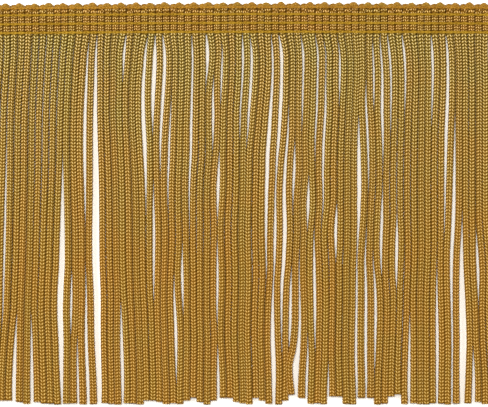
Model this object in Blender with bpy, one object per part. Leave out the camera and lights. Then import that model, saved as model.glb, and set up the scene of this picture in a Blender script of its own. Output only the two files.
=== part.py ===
"""Cord fringe trim, laid out straight and face up on a flat surface.

One knitted cord runs up and down side by side 68 times. Three chain stitch rows and an edge chain
bind its upper 12 mm into a heading. It turns back in a small loop over each pair of strands, and below
the heading it hangs as cut strands, which have gathered into loose locks. Units are metres, +X runs
along the heading, +Y points from the tips to the loops, and +Z is up.
"""

import math
from collections import namedtuple

import bmesh
import bpy

MM = 0.001

# Whole trim
CORD_COUNT = 68
CORD_PITCH = 2.75 * MM
TRIM_LENGTH = 152.4 * MM
PIECE_GAP = 0.3 * MM
# The strands lean to the left, so the heading sits right of the middle of the whole box.
HEADING_CENTRE_X = 1.5 * MM

# The heading bows a little towards +Y, furthest at BOW_CENTRE_X, as it was pushed flat by hand.
BOW = 0.6 * MM
BOW_CENTRE_X = 20.0 * MM
BOW_REACH = 113.0 * MM

# Rows of the heading, each as its distance below the tops of the loops
EDGE_CHAIN_ROW = 1.95 * MM
UPPER_ROW = 4.45 * MM
MIDDLE_ROW = 7.80 * MM
LOWER_ROW = 11.15 * MM

# Loops of the top edge, one over each pair of cords. LOOP_SPREAD is half a loop's width as a part of
# the pair's, and LOOP_CREST_DEPTH is how far the loop's thickest line lies below its rim.
LOOP_RISE = 1.3 * MM
LOOP_UNEVENNESS = 0.12 * MM
LOOP_LEAN = 0.5 * MM
LOOP_SPREAD = 0.35
LOOP_CREST_DEPTH = 0.75 * MM
VALLEY_CREST_DEPTH = 0.2 * MM
RIM_HEIGHT = 1.3 * MM
RIM_ROUNDING = 0.1 * MM

# Heights above the surface, in the heading
CORD_HEIGHT = 2.15 * MM
PRESSED_HEIGHT = 1.2 * MM
STITCH_BASE = 1.9 * MM
EDGE_CHAIN_BASE = 2.0 * MM
CHAIN_TOP = 2.5 * MM
CHAIN_DIP = 0.15 * MM

# Widths of the chains, in the middle of a stitch and where it is drawn in
STITCH_WIDTH = 1.2 * MM
STITCH_PINCH = 0.8 * MM
EDGE_CHAIN_WIDTH = 0.8 * MM
EDGE_CHAIN_PINCH = 0.65 * MM

# Strands, and the narrow strip that their roots share under the lower stitch row
STRAND_WIDTH = 2.0 * MM
STRAND_HEIGHT = 2.0 * MM
ROOT_HEIGHT = 1.5 * MM
ROOT_REACH = 0.75 * MM
ROOT_TUCK = 0.1 * MM
STRAND_STEPS = 10
STEP_GROWTH = 1.15
GATHER_DEPTH = 23.0 * MM
CLOSEST_SPACING = 2.35 * MM
SETTLING_ROUNDS = 40

# Depths in millimetres below the heading at which LOCKS gives the sway of a lock
SWAY_DEPTHS = {
    "shoulder": 10.0,
    "upper": 30.5,
    "waist": 55.0,
    "middle": 82.0,
    "lower": 110.0,
    "tip": 137.0,
}

# Locks from left to right: the cords in each, their spacing once gathered, and how far the lock has
# swayed to the right of its roots at each depth, all in millimetres.
Lock = namedtuple("Lock", "cords spacing shoulder upper waist middle lower tip")
LOCKS = (
    Lock(2, 2.4, -0.50, -2.25, -2.50, -3.00, -3.75, -4.25),
    Lock(2, 2.6, -0.50, -1.25, -1.50, -2.00, -2.75, -4.75),
    Lock(2, 2.7, -0.50, -1.50, -1.75, -2.00, -3.00, -3.75),
    Lock(2, 2.6, -0.75, -1.50, -2.00, -2.50, -3.00, -2.50),
    Lock(2, 2.7, -0.75, -1.50, -1.75, -3.00, -2.75, -2.00),
    Lock(3, 2.8, -0.75, -1.25, -1.75, -1.75, -1.75, -1.50),
    Lock(1, 2.4, -0.50, -1.00, -1.25, -1.75, -1.50, -0.25),
    Lock(3, 2.6, 0.00, -0.50, 0.00, 0.50, 0.50, 1.50),
    Lock(4, 2.5, -0.75, -1.50, -0.75, -0.50, 0.50, 1.00),
    Lock(1, 2.4, -1.00, -1.00, -1.00, -0.25, -0.25, 0.00),
    Lock(2, 2.7, 0.50, -0.25, -0.75, -0.50, -0.50, -0.25),
    Lock(5, 2.7, 0.50, -0.50, -1.00, -1.00, -0.75, -0.50),
    Lock(3, 2.8, 0.75, 0.00, -0.50, -1.25, -1.50, -0.50),
    Lock(3, 2.5, 0.50, -0.50, -1.00, -1.50, -1.50, -1.00),
    Lock(4, 2.8, 0.50, -0.25, -1.50, -2.00, -2.25, -1.75),
    Lock(2, 2.8, 1.50, 0.75, -0.50, -1.00, -1.75, -1.75),
    Lock(1, 2.4, 1.25, 0.75, 0.00, 0.00, -0.50, -1.75),
    Lock(6, 2.7, 1.00, 0.50, 0.00, -0.25, -0.25, -0.75),
    Lock(3, 2.8, 0.75, 0.25, 0.00, -0.25, -0.50, -0.75),
    Lock(2, 2.7, 0.50, 0.25, 0.50, 0.25, 0.50, -0.50),
    Lock(2, 2.8, 0.75, 0.75, 0.50, 0.25, 0.75, 0.50),
    Lock(6, 2.6, 0.50, 0.50, 0.50, 0.50, 0.00, 0.25),
    Lock(3, 2.8, 0.50, 0.50, 0.50, -0.25, -0.25, 0.00),
    Lock(1, 2.4, 0.50, 0.50, 0.75, 0.50, 1.50, 1.00),
    Lock(3, 2.5, -0.25, 0.25, 0.00, 0.50, 1.00, 1.50),
)

# Strands that the shears cut shorter than the rest: by how many millimetres, and which cords
CUT_SHORT = {
    1.0: (4, 6, 22, 28, 33, 65),
    1.5: (0, 1, 2, 3, 20, 21, 26, 30, 37, 40, 67),
    2.5: (27, 31, 32, 36, 42, 50, 51),
    3.0: (46, 47, 54),
    3.8: (41, 55),
}
USUAL_UNEVENNESS = 0.5 * MM

# Where a cord of the heading has the slit on its left and its two shoulders, as parts of the pitch
RIB_STATIONS = (0.0, 0.3, 0.7)

# Colours, as linear RGB
OLIVE_GOLD = (0.42, 0.27, 0.05, 1.0)
SATIN_OCHRE = (0.40, 0.24, 0.04, 1.0)
EDGE_AMBER = (0.36, 0.18, 0.03, 1.0)


def clear_scene():
    for item in list(bpy.data.objects):
        bpy.data.objects.remove(item, do_unlink=True)


def make_material(name, colour, roughness):
    material = bpy.data.materials.new(name)
    material.use_nodes = True
    shader = material.node_tree.nodes["Principled BSDF"]
    shader.inputs["Base Color"].default_value = colour
    shader.inputs["Roughness"].default_value = roughness
    shader.inputs["Metallic"].default_value = 0.0
    return material


def add_piece(name, builder, material):
    """Makes a named object from a bmesh and gives it its material."""
    mesh = bpy.data.meshes.new(name)
    bmesh.ops.recalc_face_normals(builder, faces=builder.faces[:])
    builder.to_mesh(mesh)
    builder.free()
    mesh.materials.append(material)
    piece = bpy.data.objects.new(name, mesh)
    bpy.context.scene.collection.objects.link(piece)


def bow(x):
    """How far the heading is pushed towards +Y at x."""
    return BOW * (1.0 - ((x - BOW_CENTRE_X) / BOW_REACH) ** 2)


def heading_y(x, below_loops):
    """Y of a line of the heading that lies this far below the tops of the loops."""
    return TRIM_LENGTH / 2 - BOW - LOOP_UNEVENNESS - below_loops + bow(x)


def heading_x(place):
    """X of a place in the heading, counted in cords from its left end."""
    return HEADING_CENTRE_X + (place - CORD_COUNT / 2) * CORD_PITCH


def root_x(index):
    """X of a cord's centre line in the heading."""
    return heading_x(index + 0.5)


def smooth_through(places, values, place):
    """Cubic curve through the given values, with the slope of its neighbours at each of them."""
    if place >= places[-1]:
        return values[-1]
    last = len(places) - 1
    step = max(number for number in range(last) if places[number] <= place)

    def slope(number):
        before = max(number - 1, 0)
        after = min(number + 1, last)
        return (values[after] - values[before]) / (places[after] - places[before])

    span = places[step + 1] - places[step]
    t = (place - places[step]) / span
    start_weight = 2 * t**3 - 3 * t**2 + 1
    start_bend = (t**3 - 2 * t**2 + t) * span * slope(step)
    end_bend = (t**3 - t**2) * span * slope(step + 1)
    return start_weight * values[step] + (1 - start_weight) * values[step + 1] + start_bend + end_bend


def lock_sway(lock, depth):
    """How far a lock has swayed to the right of its roots at a depth below the heading."""
    places = [0.0]
    values = [0.0]
    for column, depth_mm in SWAY_DEPTHS.items():
        places.append(depth_mm * MM)
        values.append(getattr(lock, column) * MM)
    return smooth_through(places, values, depth)


def strand_centres(depth):
    """X of every strand at a depth below the heading, settled so that no two lie too close."""
    centres = []
    gathered = min(1.0, depth / GATHER_DEPTH)
    for lock in LOCKS:
        middle = (lock.cords - 1) / 2
        lock_x = root_x(len(centres) + middle) + lock_sway(lock, depth)
        spacing = CORD_PITCH + (lock.spacing * MM - CORD_PITCH) * gathered
        for place in range(lock.cords):
            centres.append(lock_x + (place - middle) * spacing)
    return spread_apart(centres)


def spread_apart(centres):
    """Pushes neighbours that lie closer than CLOSEST_SPACING apart, each by half."""
    settled = list(centres)
    for _ in range(SETTLING_ROUNDS):
        for left in range(len(settled) - 1):
            short = CLOSEST_SPACING - (settled[left + 1] - settled[left])
            if short > 0:
                settled[left] -= short / 2
                settled[left + 1] += short / 2
    return settled


def strand_trim(index):
    """How much shorter a strand is cut than the longest could be."""
    for shortness, cords in CUT_SHORT.items():
        if index in cords:
            return shortness * MM
    return USUAL_UNEVENNESS * (1 + math.sin(1.9 * index)) / 2


def bridge_rings(builder, rings):
    """Closes a row of equal rings of corners into one body, and returns its sides by ring."""
    sides = []
    for left, right in zip(rings, rings[1:]):
        around = []
        for corner in range(len(left)):
            after = (corner + 1) % len(left)
            around.append(builder.faces.new((left[corner], right[corner], right[after], left[after])))
        sides.append(around)
    builder.faces.new(rings[0])
    builder.faces.new(rings[-1])
    return sides


def build_fringe_strands():
    """Strands of square section, grown out of the front of the strip that joins their roots."""
    stations = [heading_x(0)]
    for index in range(CORD_COUNT):
        stations.append(root_x(index) - STRAND_WIDTH / 2)
        stations.append(root_x(index) + STRAND_WIDTH / 2)
    stations.append(heading_x(CORD_COUNT))
    builder = bmesh.new()
    rings = []
    for x in stations:
        front = heading_y(x, LOWER_ROW + ROOT_REACH)
        back = heading_y(x, LOWER_ROW - ROOT_TUCK)
        section = ((front, 0.0), (front, ROOT_HEIGHT), (back, ROOT_HEIGHT), (back, 0.0))
        rings.append([builder.verts.new((x, y, z)) for y, z in section])
    fronts = [around[0] for around in bridge_rings(builder, rings)]
    roots = fronts[1::2]
    full_length = TRIM_LENGTH - LOWER_ROW - ROOT_REACH
    for step in range(1, STRAND_STEPS + 1):
        share = (step / STRAND_STEPS) ** STEP_GROWTH
        centres = strand_centres(share * full_length)
        roots = [
            grow_strand(builder, face, index, share, centres[index]) for index, face in enumerate(roots)
        ]
    return builder


def grow_strand(builder, end_face, index, share, centre):
    """Extrudes a strand's end face on to its section at a share of the way from root to tip."""
    root = heading_y(root_x(index), LOWER_ROW + ROOT_REACH)
    tip = strand_trim(index) - TRIM_LENGTH / 2
    grown = bmesh.ops.extrude_discrete_faces(builder, faces=[end_face])["faces"][0]
    left_to_right = sorted(grown.verts, key=lambda corner: corner.co.x)
    for place, corner in enumerate(left_to_right):
        side = -0.5 if place < 2 else 0.5
        on_top = corner.co.z > ROOT_HEIGHT / 2
        corner.co = (centre + side * STRAND_WIDTH, root + share * (tip - root), STRAND_HEIGHT * on_top)
    return grown


def build_heading_band():
    """The bound cords: ribs with grooves pressed in by the stitch rows, and loops along the top edge."""
    lower_edge = LOWER_ROW - ROOT_TUCK - PIECE_GAP
    rows = [LOWER_ROW, MIDDLE_ROW, UPPER_ROW, EDGE_CHAIN_ROW]
    lines = [(lower_edge, False)]
    for below, above in zip(rows, rows[1:]):
        lines.append(((below + above) / 2, True))
        lines.append((above, False))
    stations = []
    for index in range(CORD_COUNT):
        stations += [(index + part, part > 0.0) for part in RIB_STATIONS]
    stations.append((float(CORD_COUNT), False))
    builder = bmesh.new()
    rings = []
    for place, on_cord in stations:
        x = heading_x(place)
        section = [(x, heading_y(x, lower_edge), 0.0)]
        for below_loops, between_rows in lines:
            height = CORD_HEIGHT if between_rows and on_cord else PRESSED_HEIGHT
            section.append((x, heading_y(x, below_loops), height))
        section += loop_section(place)
        rings.append([builder.verts.new(point) for point in section])
    bridge_rings(builder, rings)
    return builder


def loop_section(place):
    """Crest, rim and foot of the top edge at a place counted in cords from the left end."""
    pair = int(min(place, CORD_COUNT - 1) // 2)
    off_centre = abs(place / 2 - pair - 0.5) / LOOP_SPREAD
    roundness = math.sqrt(max(0.0, 1.0 - off_centre**2))
    rise = roundness * (LOOP_RISE + LOOP_UNEVENNESS * math.sin(2.4 * pair))
    x = heading_x(place) + LOOP_LEAN * roundness
    rim = LOOP_RISE - rise
    crest = rim + VALLEY_CREST_DEPTH + (LOOP_CREST_DEPTH - VALLEY_CREST_DEPTH) * roundness
    crest_height = PRESSED_HEIGHT + (CORD_HEIGHT - PRESSED_HEIGHT) * roundness
    rim_height = min(RIM_HEIGHT, crest_height - RIM_ROUNDING)
    return [
        (x, heading_y(x, crest), crest_height),
        (x, heading_y(x, rim), rim_height),
        (x, heading_y(x, rim), 0.0),
    ]


def build_chain(below_loops, base, width, pinch, steps_per_cord):
    """A chain of stitches along the heading, flat below and ridged above, drawn in at each stitch's end."""
    builder = bmesh.new()
    rings = []
    for step in range(CORD_COUNT * steps_per_cord + 1):
        x = heading_x(step / steps_per_cord)
        y = heading_y(x, below_loops)
        drawn_in = step % 2 == 0
        half = (pinch if drawn_in else width) / 2
        top = CHAIN_TOP - CHAIN_DIP * drawn_in
        section = ((x, y - half, base), (x, y, top), (x, y + half, base))
        rings.append([builder.verts.new(point) for point in section])
    bridge_rings(builder, rings)
    return builder


def main():
    clear_scene()
    add_piece("fringe_strands", build_fringe_strands(), make_material("strand_gold", OLIVE_GOLD, 0.55))
    add_piece("heading_band", build_heading_band(), make_material("heading_gold", OLIVE_GOLD, 0.6))
    stitch_rows = {"upper": UPPER_ROW, "middle": MIDDLE_ROW, "lower": LOWER_ROW}
    for name, below_loops in stitch_rows.items():
        row = build_chain(below_loops, STITCH_BASE, STITCH_WIDTH, STITCH_PINCH, 2)
        add_piece(f"stitch_row_{name}", row, make_material(f"stitch_satin_{name}", SATIN_OCHRE, 0.4))
    edge = build_chain(EDGE_CHAIN_ROW, EDGE_CHAIN_BASE, EDGE_CHAIN_WIDTH, EDGE_CHAIN_PINCH, 1)
    add_piece("edge_chain", edge, make_material("edge_chain_amber", EDGE_AMBER, 0.45))


main()
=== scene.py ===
"""Looks of a cord fringe trim, laid straight and face up on a pale surface.

The free strands and the heading are knitted cord, modelled stitch by stitch: a ring of knit is shaped
once, repeated into a long cord, cut to length and laid along each line. The strands are cut from a cord
of four wales, and the heading from a finer one of five. Chains of satin thread bind the heading. Units
are metres, +X runs along the heading, +Y points from the cut tips to the looped edge, and +Z is up.
"""

from __future__ import annotations

import logging
import math
import random
from dataclasses import dataclass
from enum import Enum
from typing import Callable, Iterable, Sequence

import bmesh
import bpy
from mathutils import Matrix, Vector

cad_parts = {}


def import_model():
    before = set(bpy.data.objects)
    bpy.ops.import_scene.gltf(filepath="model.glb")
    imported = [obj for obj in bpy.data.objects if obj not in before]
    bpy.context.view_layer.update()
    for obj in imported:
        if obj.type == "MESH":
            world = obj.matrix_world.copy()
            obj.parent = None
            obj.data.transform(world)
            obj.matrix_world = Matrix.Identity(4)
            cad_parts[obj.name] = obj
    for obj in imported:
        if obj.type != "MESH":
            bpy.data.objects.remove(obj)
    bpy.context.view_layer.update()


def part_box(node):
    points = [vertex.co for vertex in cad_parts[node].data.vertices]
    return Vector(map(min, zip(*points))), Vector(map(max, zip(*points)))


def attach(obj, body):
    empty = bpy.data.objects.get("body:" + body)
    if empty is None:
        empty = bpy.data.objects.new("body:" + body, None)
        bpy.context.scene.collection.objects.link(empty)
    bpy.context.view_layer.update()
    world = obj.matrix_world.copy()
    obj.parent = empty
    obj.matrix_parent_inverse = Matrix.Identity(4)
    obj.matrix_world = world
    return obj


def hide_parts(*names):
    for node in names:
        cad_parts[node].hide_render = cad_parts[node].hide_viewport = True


LOG = logging.getLogger("cord_fringe")
MM = 0.001
BODY = "root"
Colour = tuple[float, float, float, float]


class HeadingRow(Enum):
    """Chain rows of the heading, each with its distance below the tops of the loops."""

    EDGE = 1.85 * MM
    UPPER = 4.45 * MM
    MIDDLE = 7.80 * MM
    LOWER = 11.15 * MM


class StrandGroup(Enum):
    """Groups of neighbouring strands, from left to right, each a piece of its own."""

    LEFT = 0
    MID_LEFT = 1
    MID_RIGHT = 2
    RIGHT = 3


@dataclass(frozen=True)
class Lock:
    """Strands that lie together, with how far the lock sways to the right at each depth, in mm."""

    cords: int
    spacing: float
    shoulder: float
    upper: float
    waist: float
    middle: float
    lower: float
    tip: float


# Depth below the heading, in mm, of each sway column of a lock.
SWAY_DEPTHS = {
    "shoulder": 10.0,
    "upper": 30.5,
    "waist": 55.0,
    "middle": 82.0,
    "lower": 110.0,
    "tip": 137.0,
}

LOCKS = (
    Lock(2, 2.4, -0.50, -2.25, -2.50, -3.00, -3.75, -4.25),
    Lock(2, 2.6, -0.50, -1.25, -1.50, -2.00, -2.75, -4.75),
    Lock(2, 2.7, -0.50, -1.50, -1.75, -2.00, -3.00, -3.75),
    Lock(2, 2.6, -0.75, -1.50, -2.00, -2.50, -3.00, -2.50),
    Lock(2, 2.7, -0.75, -1.50, -1.75, -3.00, -2.75, -2.00),
    Lock(3, 2.8, -0.75, -1.25, -1.75, -1.75, -1.75, -1.50),
    Lock(1, 2.4, -0.50, -1.00, -1.25, -1.75, -1.50, -0.25),
    Lock(3, 2.6, 0.00, -0.50, 0.00, 0.50, 0.50, 1.50),
    Lock(4, 2.5, -0.75, -1.50, -0.75, -0.50, 0.50, 1.00),
    Lock(1, 2.4, -1.00, -1.00, -1.00, -0.25, -0.25, 0.00),
    Lock(2, 2.7, 0.50, -0.25, -0.75, -0.50, -0.50, -0.25),
    Lock(5, 2.7, 0.50, -0.50, -1.00, -1.00, -0.75, -0.50),
    Lock(3, 2.8, 0.75, 0.00, -0.50, -1.25, -1.50, -0.50),
    Lock(3, 2.5, 0.50, -0.50, -1.00, -1.50, -1.50, -1.00),
    Lock(4, 2.8, 0.50, -0.25, -1.50, -2.00, -2.25, -1.75),
    Lock(2, 2.8, 1.50, 0.75, -0.50, -1.00, -1.75, -1.75),
    Lock(1, 2.4, 1.25, 0.75, 0.00, 0.00, -0.50, -1.75),
    Lock(6, 2.7, 1.00, 0.50, 0.00, -0.25, -0.25, -0.75),
    Lock(3, 2.8, 0.75, 0.25, 0.00, -0.25, -0.50, -0.75),
    Lock(2, 2.7, 0.50, 0.25, 0.50, 0.25, 0.50, -0.50),
    Lock(2, 2.8, 0.75, 0.75, 0.50, 0.25, 0.75, 0.50),
    Lock(6, 2.6, 0.50, 0.50, 0.50, 0.50, 0.00, 0.25),
    Lock(3, 2.8, 0.50, 0.50, 0.50, -0.25, -0.25, 0.00),
    Lock(1, 2.4, 0.50, 0.50, 0.75, 0.50, 1.50, 1.00),
    Lock(3, 2.5, -0.25, 0.25, 0.00, 0.50, 1.00, 1.50),
)


@dataclass(frozen=True)
class Parting:
    """An open slit to the right of one strand: where it starts and ends below the heading, in mm."""

    after: int
    start: float
    end: float
    width: float

    def opening(self, depth: float) -> float:
        """How far the slit stands open at a depth, widest halfway along it.

        Args:
            depth: Distance below the heading's lower edge.

        Returns:
            The extra distance between the strands on both sides.
        """
        along = (depth / MM - self.start) / (self.end - self.start)
        return self.width * MM * math.sin(math.pi * along) if 0.0 < along < 1.0 else 0.0


PARTINGS = (
    Parting(1, 40, 115, 0.7), Parting(3, 105, 165, 1.7), Parting(5, 105, 175, 1.4),
    Parting(9, 45, 155, 2.4), Parting(10, 88, 118, 1.0), Parting(11, 110, 165, 1.3),
    Parting(12, 0, 75, 1.3), Parting(12, 85, 175, 1.5), Parting(13, -10, 190, 2.7),
    Parting(16, 100, 155, 1.5), Parting(17, -12, 20, 1.0), Parting(20, -8, 68, 1.7),
    Parting(21, -5, 40, 1.8), Parting(21, 55, 105, 1.0), Parting(22, -15, 57, 1.5),
    Parting(23, 15, 70, 0.9), Parting(24, 90, 135, 1.2), Parting(25, 80, 108, 1.1),
    Parting(26, -15, 75, 1.0), Parting(28, -15, 22, 1.4), Parting(29, 12, 45, 1.1),
    Parting(30, 3, 30, 1.1), Parting(30, 45, 72, 1.3), Parting(30, 78, 114, 1.0),
    Parting(30, 118, 160, 1.4), Parting(33, -10, 42, 1.1), Parting(34, -5, 44, 1.4),
    Parting(37, -10, 95, 1.5), Parting(38, -20, 65, 1.5), Parting(38, 55, 95, 1.0),
    Parting(38, 90, 160, 1.8), Parting(39, 20, 125, 1.4), Parting(40, 40, 68, 1.1),
    Parting(40, 88, 130, 1.2), Parting(41, -8, 40, 1.3), Parting(41, 80, 190, 1.4),
    Parting(42, 55, 74, 1.2), Parting(42, 112, 165, 1.2), Parting(43, -8, 50, 1.0),
    Parting(43, 74, 122, 1.1), Parting(44, -5, 75, 1.0), Parting(45, 125, 155, 1.1),
    Parting(46, 4, 27, 1.1), Parting(46, 65, 88, 1.1), Parting(49, 28, 85, 1.7),
    Parting(49, 72, 165, 1.2), Parting(50, 5, 62, 0.9), Parting(50, 70, 160, 1.3),
    Parting(51, 0, 32, 1.0), Parting(51, 80, 133, 1.2), Parting(52, -5, 50, 1.2),
    Parting(52, 58, 94, 1.1), Parting(53, -15, 40, 1.0), Parting(54, 70, 100, 1.1),
    Parting(55, -12, 32, 1.0), Parting(56, 105, 160, 1.2), Parting(59, -15, 36, 1.0),
    Parting(60, 85, 165, 1.3), Parting(61, -20, 80, 1.2), Parting(62, 28, 122, 1.4),
    Parting(62, 105, 170, 1.0), Parting(63, 68, 170, 2.7), Parting(64, 118, 165, 1.7),
    Parting(65, 74, 103, 1.1),
)

# Strands cut short, by how far in mm their tips stand above the trim's lower limit.
CUT_SHORT = {
    1.0: (4, 6, 22, 28, 33, 65),
    1.5: (0, 1, 2, 3, 20, 21, 26, 30, 37, 40, 67),
    2.5: (27, 31, 32, 36, 42, 50, 51),
    3.0: (46, 47, 54),
    3.8: (41, 55),
}


def smooth_through(places: Sequence[float], values: Sequence[float], place: float) -> float:
    """Reads a cubic curve that passes through given values.

    Args:
        places: Rising places at which the values are given.
        values: The values there.
        place: Where to read the curve.

    Returns:
        The curve's value, with the slope of its neighbours at each given value.
    """
    if place >= places[-1]:
        return values[-1]
    last = len(places) - 1
    step = max(number for number in range(last) if places[number] <= place)

    def slope(number: int) -> float:
        """Slope between the neighbours of one given value.

        Args:
            number: The value's number.

        Returns:
            The slope there.
        """
        before = max(number - 1, 0)
        after = min(number + 1, last)
        return (values[after] - values[before]) / (places[after] - places[before])

    span = places[step + 1] - places[step]
    t = (place - places[step]) / span
    start_weight = 2 * t**3 - 3 * t**2 + 1
    start_bend = (t**3 - 2 * t**2 + t) * span * slope(step)
    end_bend = (t**3 - t**2) * span * slope(step + 1)
    return start_weight * values[step] + (1 - start_weight) * values[step + 1] + start_bend + end_bend


@dataclass(frozen=True)
class TrimLayout:
    """Where the heading, its rows and every strand lie, worked out from the frame's boxes."""

    left: float
    right: float
    top: float
    bottom: float
    cord_count: int = 68
    bow: float = 0.6 * MM
    bow_centre: float = 20.0 * MM
    bow_reach: float = 113.0 * MM
    loop_unevenness: float = 0.12 * MM
    gather_depth: float = 23.0 * MM
    part_depth: float = 2.6 * MM
    root_reach: float = 0.75 * MM
    touching_spacing: float = 2.52 * MM
    closest_spacing: float = 2.40 * MM
    usual_unevenness: float = 0.5 * MM
    settling_rounds: int = 60
    homing: float = 0.06

    @classmethod
    def from_frame(cls) -> TrimLayout:
        """Reads the trim's limits from the boxes of its CAD nodes.

        Returns:
            The layout, centred along Y.
        """
        heading_low, heading_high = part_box("heading_band")
        strands_low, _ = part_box("fringe_strands")
        half_length = (heading_high.y - strands_low.y) / 2
        return cls(heading_low.x, heading_high.x, half_length, -half_length)

    @property
    def pitch(self) -> float:
        """Distance between the centre lines of neighbouring cords in the heading."""
        return (self.right - self.left) / self.cord_count

    def heading_x(self, place: float) -> float:
        """X of a place in the heading, counted in cords from its left end."""
        return self.left + place * self.pitch

    def heading_y(self, x: float, below_loops: float) -> float:
        """Y of a line of the heading, which bows a little towards the looped edge.

        Args:
            x: Where along the heading.
            below_loops: The line's distance below the tops of the loops.

        Returns:
            The line's Y at x.
        """
        pushed = self.bow * (1.0 - ((x - self.bow_centre) / self.bow_reach) ** 2)
        return self.top - self.bow - self.loop_unevenness - below_loops + pushed

    def lock_sway(self, lock: Lock, depth: float) -> float:
        """How far a lock has swayed to the right of its roots.

        Args:
            lock: The lock.
            depth: Distance below the heading's lower edge.

        Returns:
            The sway at that depth.
        """
        places = [0.0]
        values = [0.0]
        for column, depth_mm in SWAY_DEPTHS.items():
            places.append(depth_mm * MM)
            values.append(getattr(lock, column) * MM)
        return smooth_through(places, values, depth)

    def lock_centres(self, depth: float) -> list[float]:
        """X of every strand, evenly spaced within its lock.

        Args:
            depth: Distance below the heading's lower edge.

        Returns:
            The centres, from left to right.
        """
        centres: list[float] = []
        gathered = min(1.0, depth / self.gather_depth)
        for lock in LOCKS:
            middle = (lock.cords - 1) / 2
            lock_x = self.heading_x(len(centres) + middle + 0.5) + self.lock_sway(lock, depth)
            spacing = self.pitch + (lock.spacing * MM - self.pitch) * gathered
            for place in range(lock.cords):
                centres.append(lock_x + (place - middle) * spacing)
        return centres

    def wanted_spacings(self, depth: float) -> list[float]:
        """Distances between neighbouring strands, touching except where a slit stands open.

        Args:
            depth: Distance below the heading's lower edge.

        Returns:
            The distances, from left to right.
        """
        parted = min(1.0, depth / self.part_depth)
        spacings = [self.touching_spacing] * (self.cord_count - 1)
        for parting in PARTINGS:
            spacings[parting.after] += parting.opening(depth)
        return [self.pitch + (spacing - self.pitch) * parted for spacing in spacings]

    def strand_centres(self, depth: float) -> list[float]:
        """X of every strand at a depth, with its neighbours touching or parted.

        Args:
            depth: Distance below the heading's lower edge.

        Returns:
            The centres, from left to right.
        """
        homes = self.lock_centres(depth)
        wanted = self.wanted_spacings(depth)
        centres = list(homes)
        for _ in range(self.settling_rounds):
            for number, spacing in enumerate(wanted):
                short = (spacing - (centres[number + 1] - centres[number])) / 2
                centres[number] -= short
                centres[number + 1] += short
            centres = [centre + (home - centre) * self.homing for centre, home in zip(centres, homes)]
        for _ in range(self.settling_rounds):
            for number in range(len(wanted)):
                short = self.closest_spacing - (centres[number + 1] - centres[number])
                if short > 0:
                    centres[number] -= short / 2
                    centres[number + 1] += short / 2
        return centres

    def tip_y(self, index: int) -> float:
        """Y of a strand's cut tip.

        Args:
            index: The strand's number from the left.

        Returns:
            The tip's Y, uneven by a little where the strand isn't one of those cut short.
        """
        for shortness, cords in CUT_SHORT.items():
            if index in cords:
                return self.bottom + shortness * MM
        return self.bottom + self.usual_unevenness * (1 + math.sin(1.9 * index)) / 2


@dataclass(frozen=True)
class Station:
    """A point of a guide line, with the cord's fullness and turn there."""

    place: tuple[float, float, float]
    fullness: float = 1.0
    turn: float = 0.0


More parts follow.
